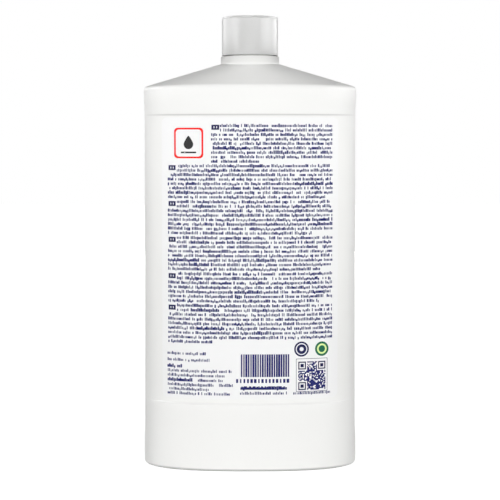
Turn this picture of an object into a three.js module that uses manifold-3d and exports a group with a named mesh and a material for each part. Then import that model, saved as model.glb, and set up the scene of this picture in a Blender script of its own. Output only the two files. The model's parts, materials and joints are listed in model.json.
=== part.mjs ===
// A one-litre floor cleaner bottle: a blow-moulded flat oval body with a recessed label panel,
// a threaded neck under a smooth screw cap, a loose liner disc inside the cap, and one label.
// Millimetres, +Z up. The origin is on the floor under the middle of the body, and the
// labelled back of the bottle faces -Y.
import * as THREE from "three";
import { mergeVertices } from "three/addons/utils/BufferGeometryUtils.js";
import Module from "manifold-3d";

const wasm = await Module();
wasm.setup();

// Body: an oval a little squarer than an ellipse, slightly narrower at the shoulder
const BODY_HALF_WIDTH = 57.55;
const BODY_HALF_DEPTH = 28.3;
const BODY_HEIGHT = 203.55;
const BODY_DRAFT = 0.45;
const OVAL_POWER = 2.5;
const WALL = 1.2;

// Base: the foot ring that the bottle stands on, and the floor pushed up inside it
const BASE_FILLET = 1.6;
const FOOT_WIDTH = 4.5;
const PUSH_UP = 3.2;
const PUSH_UP_RUN = 4;
const PUSH_UP_FILLET = 2;

// Recess between the full-width bands at base and shoulder, and the crisp ledges of the
// label panel inside it. Each run is the height over which the side draws in.
const BASE_BAND_HEIGHT = 11;
const LOWER_RECESS_RUN = 13;
const RECESS_TO_PANEL = 12;
const PANEL_TO_RECESS = 1.9;
const UPPER_RECESS_RUN = 7;
const TOP_BAND_HEIGHT = 6.55;
const RECESS_DEPTH = 0.38;
const PANEL_DEPTH = 0.45;
const LEDGE_HEIGHT = 0.5;

// Shoulder and collar; the collar's foot lies a little lower at front and back
const SHOULDER_RISE = 12.05;
const SHOULDER_FILLET = 3.5;
const COLLAR_OVERHANG = 0.55;
const COLLAR_HEIGHT = 3.9;
const COLLAR_DIP = 0.9;
const COLLAR_FILLET = 0.5;

// Neck finish: a 28 mm screw neck
const NECK_HEIGHT = 17.9;
const NECK_ROOT_RADIUS = 12.55;
const NECK_WALL = 1.8;
const LIP_FILLET = 0.5;
const THREAD_PITCH = 4.23;
const THREAD_RADIAL_GAP = 0.35;
const THREAD_AXIAL_GAP = 0.3;
const THREAD_FADE_ANGLE = Math.PI / 6;
const NECK_THREAD_TURNS = 1.5;
const NECK_THREAD_HEIGHT = 1.15;
const NECK_THREAD_ROOT_WIDTH = 2.4;
const NECK_THREAD_CREST_WIDTH = 1;
const LIP_TO_THREAD = 1.5;

// Screw cap and the liner disc under its top
const CAP_RUNNING_GAP = 0.25;
const CAP_WALL = 1.15;
const CAP_TOP_WALL = 1.6;
const CAP_TO_COLLAR = 0.5;
const CAP_TOP_FILLET = 0.9;
const CAP_RIM_FILLET = 0.3;
const CAP_BAND_HEIGHT = 1.2;
const CAP_GROOVE = 0.15;
const CAP_THREAD_TURNS = 1.6;
const CAP_THREAD_LAG = Math.PI / 3;
const CAP_THREAD_ROOT_WIDTH = 2;
const CAP_THREAD_CREST_WIDTH = 0.8;
const LINER_THICKNESS = 1;
const LINER_SIDE_GAP = 0.35;
const LINER_FACE_GAP = 0.3;
const LINER_CHAMFER = 0.2;

// Label: a thin sheet that follows the panel
const LABEL_HALF_WIDTH = 46.5;
const LABEL_BOTTOM_MARGIN = 2.6;
const LABEL_TOP_MARGIN = 1.4;
const LABEL_CORNER = 3;
const LABEL_THICKNESS = 0.2;
const LABEL_GAP = 0.12;

// Facets
const ROUND_STEPS = 60;
const THREAD_STEPS_PER_TURN = 30;
const THREAD_EMBED = 0.3;
const CORNER_STEPS = 4;
const SMALL_CORNER_STEPS = 2;
const RECESS_STEPS = 3;
const SHOULDER_STEPS = 3;

// Heights that follow from the sizes above
const collarBottom = BODY_HEIGHT + SHOULDER_RISE;
const collarTop = collarBottom + COLLAR_HEIGHT;
const lip = collarTop + NECK_HEIGHT;
const linerBottom = lip + LINER_FACE_GAP;
const linerTop = linerBottom + LINER_THICKNESS;
const capCeiling = linerTop + LINER_FACE_GAP;
const capTop = capCeiling + CAP_TOP_WALL;
const capBottom = collarTop + CAP_TO_COLLAR;

const lowerRecessEnd = BASE_BAND_HEIGHT + LOWER_RECESS_RUN;
const panelBottom = lowerRecessEnd + RECESS_TO_PANEL;
const upperRecessEnd = BODY_HEIGHT - TOP_BAND_HEIGHT;
const upperRecessStart = upperRecessEnd - UPPER_RECESS_RUN;
const panelTop = upperRecessStart - PANEL_TO_RECESS;

// Radii that follow from the neck outwards
const neckBoreRadius = NECK_ROOT_RADIUS - NECK_WALL;
const neckCrestRadius = NECK_ROOT_RADIUS + NECK_THREAD_HEIGHT;
const capBoreRadius = neckCrestRadius + CAP_RUNNING_GAP;
const capRadius = capBoreRadius + CAP_WALL;
const collarRadius = capRadius + COLLAR_OVERHANG;
const capCrestRadius = NECK_ROOT_RADIUS + THREAD_RADIAL_GAP;

// Height of the middle of the neck's thread where it starts, on the +X side
const neckThreadAngle = NECK_THREAD_TURNS * 2 * Math.PI;
const neckThreadStart = lip - LIP_TO_THREAD - NECK_THREAD_ROOT_WIDTH / 2 - NECK_THREAD_TURNS * THREAD_PITCH;

const hdpe = new THREE.MeshStandardMaterial({ color: 0xf2f2f1, roughness: 0.42, metalness: 0 });
const polypropylene = new THREE.MeshStandardMaterial({ color: 0xdcdcdb, roughness: 0.32, metalness: 0 });
const foam = new THREE.MeshStandardMaterial({ color: 0xf7f7f4, roughness: 0.8, metalness: 0 });
const paper = new THREE.MeshStandardMaterial({ color: 0xffffff, roughness: 0.5, metalness: 0 });

// One horizontal ring of points on a superellipse, counter-clockwise seen from above.
// dip lowers the ring at front and back.
function ring(halfWidth, halfDepth, power, z, dip = 0) {
  const points = [];
  for (let i = 0; i < ROUND_STEPS; i++) {
    const t = (i / ROUND_STEPS) * 2 * Math.PI;
    const c = Math.cos(t);
    const s = Math.sin(t);
    const x = halfWidth * Math.sign(c) * Math.abs(c) ** (2 / power);
    const y = halfDepth * Math.sign(s) * Math.abs(s) ** (2 / power);
    points.push(new THREE.Vector3(x, y, z - dip * s * s));
  }
  return points;
}

function circle(radius, z, dip = 0) {
  return ring(radius, radius, 2, z, dip);
}

// The body's ring at height z, drawn in by inset all round and by frontInset front and back
function bodyRing(z, inset = 0, frontInset = 0) {
  const halfWidth = BODY_HALF_WIDTH - (BODY_DRAFT * z) / BODY_HEIGHT - inset;
  return ring(halfWidth, BODY_HALF_DEPTH - inset - frontInset, OVAL_POWER, z);
}

function between(from, to, share) {
  return from.map((p, i) => p.clone().lerp(to[i], share));
}

// Rounds the corner that three rings make, point by point, with arcs of one radius
function rounded(before, corner, after, radius, steps) {
  const rings = [];
  for (let k = 0; k <= steps; k++) {
    rings.push([]);
  }
  corner.forEach((c, i) => {
    const back = before[i].clone().sub(c);
    const ahead = after[i].clone().sub(c);
    const half = back.angleTo(ahead) / 2;
    const reach = Math.min(radius / Math.tan(half), back.length() / 2, ahead.length() / 2);
    const start = c.clone().addScaledVector(back.normalize(), reach);
    const end = c.clone().addScaledVector(ahead.normalize(), reach);
    for (let k = 0; k <= steps; k++) {
      const s = k / steps;
      const weights = [(1 - s) ** 2, 2 * s * (1 - s) * Math.sin(half), s ** 2];
      const sum = weights[0] + weights[1] + weights[2];
      const point = new THREE.Vector3();
      point.addScaledVector(start, weights[0] / sum);
      point.addScaledVector(c, weights[1] / sum);
      point.addScaledVector(end, weights[2] / sum);
      rings[k].push(point);
    }
  });
  return rings;
}

// A closed body through a row of rings with equally many points, its two ends closed by fans
function loft(rings) {
  const count = rings[0].length;
  const positions = [];
  const triangles = [];
  for (const points of rings) {
    for (const p of points) {
      positions.push(p.x, p.y, p.z);
    }
  }
  for (let r = 0; r + 1 < rings.length; r++) {
    for (let i = 0; i < count; i++) {
      const next = (i + 1) % count;
      const a = r * count + i;
      const b = r * count + next;
      triangles.push(a, b, b + count);
      triangles.push(a, b + count, a + count);
    }
  }
  const close = (points, first, reversed) => {
    const centre = new THREE.Vector3();
    for (const p of points) {
      centre.addScaledVector(p, 1 / count);
    }
    const hub = positions.length / 3;
    positions.push(centre.x, centre.y, centre.z);
    for (let i = 0; i < count; i++) {
      const next = (i + 1) % count;
      const pair = reversed ? [first + next, first + i] : [first + i, first + next];
      triangles.push(hub, ...pair);
    }
  };
  close(rings[0], 0, true);
  close(rings[rings.length - 1], (rings.length - 1) * count, false);
  const geometry = new THREE.BufferGeometry();
  geometry.setAttribute("position", new THREE.Float32BufferAttribute(positions, 3));
  geometry.setIndex(triangles);
  return geometry;
}

function toSolid(geometry) {
  const bare = new THREE.BufferGeometry();
  bare.setAttribute("position", geometry.getAttribute("position"));
  bare.setIndex(geometry.index);
  const merged = mergeVertices(bare, 1e-4);
  return new wasm.Manifold(
    new wasm.Mesh({
      numProp: 3,
      vertProperties: new Float32Array(merged.getAttribute("position").array),
      triVerts: new Uint32Array(merged.index.array),
    }),
  );
}

function toGeometry(solid) {
  const mesh = solid.getMesh();
  const geometry = new THREE.BufferGeometry();
  const positions = new Float32Array(mesh.numVert * 3);
  for (let i = 0; i < mesh.numVert; i++) {
    const first = i * mesh.numProp;
    positions.set(mesh.vertProperties.subarray(first, first + 3), i * 3);
  }
  geometry.setAttribute("position", new THREE.BufferAttribute(positions, 3));
  geometry.setIndex(new THREE.BufferAttribute(mesh.triVerts, 1));
  return geometry;
}

function mesh(name, geometry, material) {
  const part = new THREE.Mesh(geometry, material);
  part.name = name;
  return part;
}

// A round body turned from a profile of (radius, height) points that starts and ends on the axis
function turned(profile) {
  const geometry = new THREE.LatheGeometry(profile.getPoints(SMALL_CORNER_STEPS), ROUND_STEPS);
  return geometry.rotateX(Math.PI / 2);
}

// Right-hand thread bead. Its section is a trapezoid from rootRadius to crestRadius, sunk a
// little into the wall that carries it, and it fades into that wall at both ends.
function threadBead({ rootRadius, crestRadius, rootWidth, crestWidth, start, firstAngle, lastAngle }) {
  const outwards = Math.sign(crestRadius - rootRadius);
  const steps = Math.round(((lastAngle - firstAngle) / (2 * Math.PI)) * THREAD_STEPS_PER_TURN);
  const sections = [];
  for (let k = 0; k <= steps; k++) {
    const angle = firstAngle + ((lastAngle - firstAngle) * k) / steps;
    const fromEnd = Math.min(angle - firstAngle, lastAngle - angle);
    const share = Math.min(1, fromEnd / THREAD_FADE_ANGLE);
    const crest = rootRadius + (crestRadius - rootRadius) * Math.sin((share * Math.PI) / 2);
    const root = rootRadius - outwards * THREAD_EMBED;
    const z = start + (THREAD_PITCH * angle) / (2 * Math.PI);
    const corners = [
      [crest, z + crestWidth / 2],
      [crest, z - crestWidth / 2],
      [root, z - rootWidth / 2],
      [root, z + rootWidth / 2],
    ];
    if (outwards < 0) {
      corners.reverse();
    }
    sections.push(
      corners.map(([r, height]) => new THREE.Vector3(r * Math.cos(angle), r * Math.sin(angle), height)),
    );
  }
  return toSolid(loft(sections));
}

// Outside of the body from the base band up to the shoulder band
function outerSideRings() {
  const rings = [];
  const drawIn = (z, recess, panel = 0) => rings.push(bodyRing(z, recess, panel));
  for (let k = 0; k <= RECESS_STEPS; k++) {
    const share = k / RECESS_STEPS;
    const z = THREE.MathUtils.lerp(BASE_BAND_HEIGHT, lowerRecessEnd, share);
    drawIn(z, RECESS_DEPTH * THREE.MathUtils.smoothstep(share, 0, 1));
  }
  drawIn(panelBottom - LEDGE_HEIGHT / 2, RECESS_DEPTH);
  drawIn(panelBottom + LEDGE_HEIGHT / 2, RECESS_DEPTH, PANEL_DEPTH);
  drawIn(panelTop - LEDGE_HEIGHT / 2, RECESS_DEPTH, PANEL_DEPTH);
  drawIn(panelTop + LEDGE_HEIGHT / 2, RECESS_DEPTH);
  for (let k = 0; k <= RECESS_STEPS; k++) {
    const share = k / RECESS_STEPS;
    const z = THREE.MathUtils.lerp(upperRecessStart, upperRecessEnd, share);
    drawIn(z, RECESS_DEPTH * (1 - THREE.MathUtils.smoothstep(share, 0, 1)));
  }
  return rings;
}

// Inside of the same stretch, a wall's thickness in, without the short ledges
function innerSideRings() {
  return [
    bodyRing(BASE_BAND_HEIGHT, WALL),
    bodyRing(panelBottom + LEDGE_HEIGHT / 2, WALL + RECESS_DEPTH, PANEL_DEPTH),
    bodyRing(panelTop - LEDGE_HEIGHT / 2, WALL + RECESS_DEPTH, PANEL_DEPTH),
    bodyRing(upperRecessEnd, WALL),
  ];
}

// Base seen from below: pushed-up floor, foot ring, and the fillet up to the side
function baseRings(inset, lift, filletSteps) {
  const footOuter = bodyRing(lift, inset);
  const footInner = bodyRing(lift, BASE_FILLET + FOOT_WIDTH);
  const floorEdge = bodyRing(lift + PUSH_UP, BASE_FILLET + FOOT_WIDTH + PUSH_UP_RUN);
  const middle = between(floorEdge, circle(0, lift + PUSH_UP), 1 / 2);
  const side = bodyRing(BASE_BAND_HEIGHT, inset);
  return [
    middle,
    ...rounded(middle, floorEdge, footInner, PUSH_UP_FILLET, SMALL_CORNER_STEPS),
    ...rounded(floorEdge, footInner, footOuter, PUSH_UP_FILLET, SMALL_CORNER_STEPS),
    ...rounded(footInner, footOuter, side, BASE_FILLET, filletSteps),
  ];
}

// Straight shoulder from the oval corner up to a round edge, with the corner rounded
function shoulderRings(side, corner, edge, fillet, filletSteps) {
  const rings = rounded(side, corner, edge, fillet, filletSteps);
  const top = rings[rings.length - 1];
  for (let k = 1; k < SHOULDER_STEPS; k++) {
    rings.push(between(top, edge, k / SHOULDER_STEPS));
  }
  return rings;
}

function collarAndNeckRings() {
  const foot = circle(collarRadius, collarBottom, COLLAR_DIP);
  const edge = circle(collarRadius, collarTop);
  const root = circle(NECK_ROOT_RADIUS, collarTop);
  const lipOuter = circle(NECK_ROOT_RADIUS, lip);
  const lipInner = circle(neckBoreRadius, lip);
  const boreBottom = circle(neckBoreRadius, collarBottom);
  return [
    foot,
    ...rounded(foot, edge, root, COLLAR_FILLET, SMALL_CORNER_STEPS),
    root,
    ...rounded(root, lipOuter, lipInner, LIP_FILLET, SMALL_CORNER_STEPS),
    ...rounded(lipOuter, lipInner, boreBottom, LIP_FILLET, SMALL_CORNER_STEPS),
    boreBottom,
  ];
}

// The inner corner of the shoulder, a wall's thickness inside the outer one
function innerShoulderCorner() {
  const outer = bodyRing(BODY_HEIGHT);
  const inner = bodyRing(BODY_HEIGHT, WALL);
  const foot = circle(collarRadius, collarBottom, COLLAR_DIP);
  return inner.map((p, i) => {
    const rise = foot[i].z - outer[i].z;
    const run = Math.hypot(foot[i].x - outer[i].x, foot[i].y - outer[i].y);
    const slope = Math.atan2(rise, run);
    return p.clone().setZ(BODY_HEIGHT - WALL * (1 / Math.cos(slope) - Math.tan(slope)));
  });
}

function bottle() {
  const outerSide = outerSideRings();
  const innerSide = innerSideRings();
  const collarAndNeck = collarAndNeckRings();
  const boreBottom = collarAndNeck[collarAndNeck.length - 1];
  const outerShoulder = shoulderRings(
    outerSide[outerSide.length - 1],
    bodyRing(BODY_HEIGHT),
    collarAndNeck[0],
    SHOULDER_FILLET,
    CORNER_STEPS,
  );
  const innerShoulder = shoulderRings(
    innerSide[innerSide.length - 1],
    innerShoulderCorner(),
    boreBottom,
    SHOULDER_FILLET - WALL,
    SMALL_CORNER_STEPS,
  );
  const shell = loft([
    ...baseRings(0, 0, CORNER_STEPS),
    ...outerSide,
    ...outerShoulder,
    ...collarAndNeck,
    ...innerShoulder.reverse(),
    ...innerSide.reverse(),
    ...baseRings(WALL, WALL, SMALL_CORNER_STEPS).reverse(),
  ]);
  const thread = threadBead({
    rootRadius: NECK_ROOT_RADIUS,
    crestRadius: neckCrestRadius,
    rootWidth: NECK_THREAD_ROOT_WIDTH,
    crestWidth: NECK_THREAD_CREST_WIDTH,
    start: neckThreadStart,
    firstAngle: 0,
    lastAngle: neckThreadAngle,
  });
  return mesh("bottle", toGeometry(toSolid(shell).add(thread)), hdpe);
}

// How far the cap's thread lies below the neck's, so that their flanks rest an axial gap apart
function threadOffset() {
  const neckWidthAt = (radius) =>
    THREE.MathUtils.mapLinear(
      radius,
      NECK_ROOT_RADIUS,
      neckCrestRadius,
      NECK_THREAD_ROOT_WIDTH,
      NECK_THREAD_CREST_WIDTH,
    );
  const capWidthAt = (radius) =>
    THREE.MathUtils.mapLinear(
      radius,
      capBoreRadius,
      capCrestRadius,
      CAP_THREAD_ROOT_WIDTH,
      CAP_THREAD_CREST_WIDTH,
    );
  const contact = [neckCrestRadius, capCrestRadius].map((r) => (neckWidthAt(r) + capWidthAt(r)) / 2);
  return Math.max(...contact) + THREAD_AXIAL_GAP;
}

function screwCap() {
  const bandBottom = capTop - CAP_BAND_HEIGHT;
  const profile = new THREE.Path();
  profile.moveTo(0, capCeiling);
  profile.lineTo(capBoreRadius, capCeiling);
  profile.lineTo(capBoreRadius, capBottom);
  profile.lineTo(capRadius - CAP_RIM_FILLET, capBottom);
  profile.absarc(capRadius - CAP_RIM_FILLET, capBottom + CAP_RIM_FILLET, CAP_RIM_FILLET, -Math.PI / 2, 0);
  profile.lineTo(capRadius, bandBottom - CAP_GROOVE);
  profile.lineTo(capRadius - CAP_GROOVE, bandBottom);
  profile.lineTo(capRadius, bandBottom + CAP_GROOVE);
  profile.absarc(capRadius - CAP_TOP_FILLET, capTop - CAP_TOP_FILLET, CAP_TOP_FILLET, 0, Math.PI / 2);
  profile.lineTo(0, capTop);
  const thread = threadBead({
    rootRadius: capBoreRadius,
    crestRadius: capCrestRadius,
    rootWidth: CAP_THREAD_ROOT_WIDTH,
    crestWidth: CAP_THREAD_CREST_WIDTH,
    start: neckThreadStart - threadOffset(),
    firstAngle: -CAP_THREAD_LAG,
    lastAngle: -CAP_THREAD_LAG + CAP_THREAD_TURNS * 2 * Math.PI,
  });
  return mesh("screw_cap", toGeometry(toSolid(turned(profile)).add(thread)), polypropylene);
}

function capLiner() {
  const radius = capBoreRadius - LINER_SIDE_GAP;
  const profile = new THREE.Path();
  profile.moveTo(0, linerBottom);
  profile.lineTo(radius - LINER_CHAMFER, linerBottom);
  profile.lineTo(radius, linerBottom + LINER_CHAMFER);
  profile.lineTo(radius, linerTop - LINER_CHAMFER);
  profile.lineTo(radius - LINER_CHAMFER, linerTop);
  profile.lineTo(0, linerTop);
  return mesh("cap_liner", turned(profile), foam);
}

// The panel's upright surface pushed out by offset, as a closed column a little taller than it
function panelColumn(offset) {
  const bottom = bodyRing(panelBottom, RECESS_DEPTH - offset, PANEL_DEPTH);
  const top = bodyRing(panelTop, RECESS_DEPTH - offset, PANEL_DEPTH);
  return toSolid(loft([bottom, top]));
}

function backLabel() {
  const low = panelBottom + LABEL_BOTTOM_MARGIN;
  const high = panelTop - LABEL_TOP_MARGIN;
  const side = LABEL_HALF_WIDTH;
  const outline = new THREE.Shape();
  outline.moveTo(-side + LABEL_CORNER, low);
  outline.absarc(side - LABEL_CORNER, low + LABEL_CORNER, LABEL_CORNER, -Math.PI / 2, 0);
  outline.absarc(side - LABEL_CORNER, high - LABEL_CORNER, LABEL_CORNER, 0, Math.PI / 2);
  outline.absarc(-side + LABEL_CORNER, high - LABEL_CORNER, LABEL_CORNER, Math.PI / 2, Math.PI);
  outline.absarc(-side + LABEL_CORNER, low + LABEL_CORNER, LABEL_CORNER, Math.PI, Math.PI * 1.5);
  const cutter = new THREE.ExtrudeGeometry(outline, {
    depth: BODY_HALF_DEPTH,
    bevelEnabled: false,
    curveSegments: CORNER_STEPS,
  });
  cutter.rotateX(Math.PI / 2);
  const skin = panelColumn(LABEL_GAP + LABEL_THICKNESS).subtract(panelColumn(LABEL_GAP));
  return mesh("back_label", toGeometry(skin.intersect(toSolid(cutter))), paper);
}

const group = new THREE.Group();
group.add(bottle(), screwCap(), capLiner(), backLabel());

export default group;
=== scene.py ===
"""Looks of a one-litre floor cleaner bottle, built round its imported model.

Metres, +Z up. The labelled back of the bottle faces -Y, towards the camera.
"""

import json
import logging
import math
from collections.abc import Sequence
from dataclasses import asdict, dataclass, field, fields
from enum import Enum
from functools import partial
from typing import Any

import bpy
import numpy as np
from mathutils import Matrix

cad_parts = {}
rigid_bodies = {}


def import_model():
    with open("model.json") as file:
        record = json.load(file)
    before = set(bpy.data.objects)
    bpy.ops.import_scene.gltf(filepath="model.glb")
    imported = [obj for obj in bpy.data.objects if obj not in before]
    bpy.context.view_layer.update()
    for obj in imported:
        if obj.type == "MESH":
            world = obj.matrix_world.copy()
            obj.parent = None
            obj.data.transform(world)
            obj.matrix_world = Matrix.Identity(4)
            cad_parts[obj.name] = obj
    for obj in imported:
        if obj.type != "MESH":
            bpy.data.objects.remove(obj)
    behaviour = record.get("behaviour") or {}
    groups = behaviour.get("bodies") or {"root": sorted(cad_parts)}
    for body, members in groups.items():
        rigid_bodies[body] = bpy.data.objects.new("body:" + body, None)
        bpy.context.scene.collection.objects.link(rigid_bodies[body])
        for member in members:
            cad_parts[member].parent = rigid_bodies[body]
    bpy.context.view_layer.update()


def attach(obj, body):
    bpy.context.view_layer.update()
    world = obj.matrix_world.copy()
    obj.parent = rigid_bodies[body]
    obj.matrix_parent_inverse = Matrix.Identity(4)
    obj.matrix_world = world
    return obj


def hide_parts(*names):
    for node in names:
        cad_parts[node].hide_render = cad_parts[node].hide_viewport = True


log = logging.getLogger("floor_cleaner_bottle")

MM = 0.001
FULL_TURN = 2 * math.pi
WHITE = "#FFFFFF"

Tree = bpy.types.NodeTree
Socket = bpy.types.NodeSocket
Material = bpy.types.Material
Object = bpy.types.Object
Pair = tuple[float, float]
Place = tuple[float, float, float]
Row = tuple[float, float, float]
Ring = np.ndarray
Rings = list[Ring]
Loop = np.ndarray
Face = tuple[int, ...]


def linear(hex_code: str) -> tuple[float, float, float, float]:
    """Turns an sRGB hex colour to the linear colour that shaders take.

    Args:
        hex_code: Six hex digits after a hash sign.

    Returns:
        Red, green, blue and an alpha of one.
    """
    channels = [int(hex_code[i : i + 2], 16) / 255 for i in (1, 3, 5)]
    red, green, blue = (c / 12.92 if c <= 0.04045 else ((c + 0.055) / 1.055) ** 2.4 for c in channels)
    return (red, green, blue, 1.0)


def add_node(
    tree: Tree, kind: str, inputs: dict[str | int, Any] | None = None, **settings: Any
) -> bpy.types.Node:
    """Adds one node with its settings and links.

    Args:
        tree: Node tree that gets the node.
        kind: Blender's name of the node type.
        inputs: Values or output sockets, by the input's name or number.
        **settings: Properties of the node.

    Returns:
        The new node.
    """
    node = tree.nodes.new(kind)
    for name, value in settings.items():
        setattr(node, name, value)
    for key, value in (inputs or {}).items():
        if isinstance(value, Socket):
            tree.links.new(value, node.inputs[key])
        else:
            node.inputs[key].default_value = value
    return node


def maths(tree: Tree, operation: str, *values: Any) -> Socket:
    """Adds one sum of numbers or outputs."""
    return add_node(tree, "ShaderNodeMath", dict(enumerate(values)), operation=operation).outputs[0]


def mapped(tree: Tree, value: Socket, given: Pair = (0.0, 1.0), result: Pair = (0.0, 1.0)) -> Socket:
    """Adds the change from one range of values to another, held level beyond its ends."""
    ends = {"Value": value, 1: given[0], 2: given[1], 3: result[0], 4: result[1]}
    return add_node(tree, "ShaderNodeMapRange", ends).outputs[0]


def mixed(tree: Tree, share: Any, first: Any, second: Any, blend_type: str = "MIX") -> Socket:
    """Adds a mix of two colours."""
    inputs = {0: share, 6: first, 7: second}
    return add_node(tree, "ShaderNodeMix", inputs, data_type="RGBA", blend_type=blend_type).outputs[2]


def noise(tree: Tree, place: Socket, size: float, detail: float) -> Socket:
    """Adds noise of a real size in metres."""
    inputs = {"Vector": place, "Scale": 1 / size, "Detail": detail}
    return add_node(tree, "ShaderNodeTexNoise", inputs).outputs[0]


def new_material(name: str) -> tuple[Material, Tree, Socket]:
    """Makes a material whose tree holds nothing but the object's own coordinates.

    Args:
        name: Name of the material.

    Returns:
        The material, its tree and the output with the coordinates.
    """
    material = bpy.data.materials.new(name)
    material.use_nodes = True
    tree = material.node_tree
    tree.nodes.clear()
    return material, tree, add_node(tree, "ShaderNodeTexCoord").outputs["Object"]


def surface(tree: Tree, inputs: dict[str, Any]) -> None:
    """Ends a material's tree in one Principled shader."""
    shader = add_node(tree, "ShaderNodeBsdfPrincipled", inputs)
    add_node(tree, "ShaderNodeOutputMaterial", {"Surface": shader.outputs[0]})


class Finish(Enum):
    """The finishes on the bottle, by the record's material slot."""

    BOTTLE = "bottle_plastic"
    CAP = "cap_plastic"
    LINER = "liner_foam"
    LABEL = "label_film"


@dataclass(frozen=True)
class MouldedPlastic:
    """A moulded plastic with a fine skin texture. Its sizes are in metres.

    Attributes:
        name: Name of the material.
        colour: Main colour as hex.
        shade: Slightly darker colour of its faint clouds, as hex.
        roughness: Middle roughness.
        ior: Refractive index.
        translucency: Share of light that spreads under the skin.
        spread: How far that light spreads.
        grain: Size of the skin's grain.
        grain_depth: Height of the grain.
        parting_line: Height of the ridge where the mould halves meet.
        change: Heights between which tint and gloss change.
        tints: Factors on the colour below and above that change.
        glosses: Specular levels below and above it.
        painted_shade_lines: Height, reach and factor of each painted shade line at front and
            back: a level band whose colour is darkened where less light falls.
        painted_shade_core: Share of a painted shade line's reach that is evenly dark.
        front: Distances from the middle plane between which the painted shade lines set in.
        cloud_size: Size of the clouds.
        roughness_spread: How far the roughness goes up and down.
        ridge_width: Half the width of the parting line.
    """

    name: str
    colour: str
    shade: str
    roughness: float
    ior: float
    translucency: float
    spread: float
    grain: float
    grain_depth: float
    parting_line: float = 0.0
    change: Pair = (0.0, 1.0)
    tints: Pair = (1.0, 1.0)
    glosses: Pair = (0.5, 0.5)
    painted_shade_lines: tuple[tuple[float, float, float], ...] = ()
    painted_shade_core: float = 0.4
    front: Pair = (8 * MM, 22 * MM)
    cloud_size: float = 34 * MM
    roughness_spread: float = 0.04
    ridge_width: float = 0.35 * MM

    def make(self) -> Material:
        """Builds the material and its nodes.

        Returns:
            The material.
        """
        material, tree, place = new_material(self.name)
        calc = partial(maths, tree)
        split = add_node(tree, "ShaderNodeSeparateXYZ", {0: place}).outputs
        off_middle = calc("ABSOLUTE", split["Y"])
        facing = mapped(tree, off_middle, self.front)
        # Factor on the colour by height; on the cap it is painted light and shade
        tint = mapped(tree, split["Z"], self.change, self.tints)
        # Painted shade: each line darkens a level band at front and back, where less light falls
        for height, reach, factor in self.painted_shade_lines:
            away = calc("ABSOLUTE", calc("SUBTRACT", split["Z"], height))
            loss = mapped(tree, away, (reach * self.painted_shade_core, reach), (factor - 1, 0.0))
            tint = calc("MULTIPLY", tint, calc("MULTIPLY_ADD", loss, facing, 1.0))
        clouds = noise(tree, place, self.cloud_size, 2.0)
        colour = mixed(tree, clouds, linear(self.colour), linear(self.shade))
        grain = noise(tree, place, self.grain, 3.0)
        rough = (self.roughness - self.roughness_spread, self.roughness + self.roughness_spread)
        bump = add_node(
            tree, "ShaderNodeBump", {"Height": grain, "Distance": self.grain_depth, "Strength": 1.0}
        )
        if self.parting_line:
            ridge = {
                "Height": mapped(tree, off_middle, (0.0, self.ridge_width), (1.0, 0.0)),
                "Distance": self.parting_line,
                "Strength": 1.0,
                "Normal": bump.outputs[0],
            }
            bump = add_node(tree, "ShaderNodeBump", ridge)
        inputs = {
            "Base Color": mixed(tree, 1.0, colour, tint, "MULTIPLY"),
            "Roughness": mapped(tree, grain, result=rough),
            "IOR": self.ior,
            "Specular IOR Level": mapped(tree, split["Z"], self.change, self.glosses),
            "Subsurface Weight": self.translucency,
            "Subsurface Radius": (1.0, 1.0, 1.0),
            "Subsurface Scale": self.spread,
            "Normal": bump.outputs[0],
        }
        surface(tree, inputs)
        return material


# High-density polyethylene, extrusion blow-moulded: milky white, soft satin, a fine orange
# peel from the sand-blasted mould and a faint line where the two mould halves met. The
# peel is drawn 1.4 mm wide, about twice the real one, so that it shows. The collar is matt
# and a little darker. Painted shade lines darken the panel's ledges and the foot at front
# and back, where less light falls.
BLOWN_POLYETHYLENE = MouldedPlastic(
    "hdpe_blow_moulded", "#F0F0EE", "#EDEDEB", 0.54, 1.54, 0.12, 1.2 * MM, 1.4 * MM, 0.008 * MM,
    parting_line=0.05 * MM,
    change=(213.5 * MM, 216.5 * MM),
    tints=(1.0, 0.93),
    glosses=(0.5, 0.0),
    # Painted shade at the panel's upper ledge, its lower ledge and along the foot
    painted_shade_lines=((188.1 * MM, 0.6 * MM, 0.76), (36 * MM, 0.55 * MM, 0.93), (0.3 * MM, 1.5 * MM, 0.6)),
)

# Polypropylene, injection-moulded in a polished tool: greyer because it is more see-through,
# glossier than the bottle, and nearly free of grain. Its colour carries painted light and
# shade: darker towards the rim and lighter towards the top, where light gathers.
MOULDED_POLYPROPYLENE = MouldedPlastic(
    "polypropylene_injection_moulded", "#DADAD9", "#D6D6D5", 0.3, 1.49, 0.6, 5 * MM, 2.2 * MM, 0.004 * MM,
    # Painted light and shade: darker towards the rim, lighter towards the top
    change=(220 * MM, 239 * MM),
    tints=(0.74, 0.94),
)

# Expanded polyethylene foam, punched from sheet: dull, with cells about half a millimetre wide
EXPANDED_POLYETHYLENE = MouldedPlastic(
    "polyethylene_foam", "#F2F2EE", "#E9E9E4", 0.8, 1.5, 0.1, 1 * MM, 0.5 * MM, 0.05 * MM
)

# White polypropylene film with a matt varnish: very smooth, barely glossy
LABEL_FILM = MouldedPlastic(
    "polypropylene_film", "#F2F2F2", "#F0F0F0", 0.45, 1.49, 0.05, 0.5 * MM, 9 * MM, 0.01 * MM
)


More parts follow.
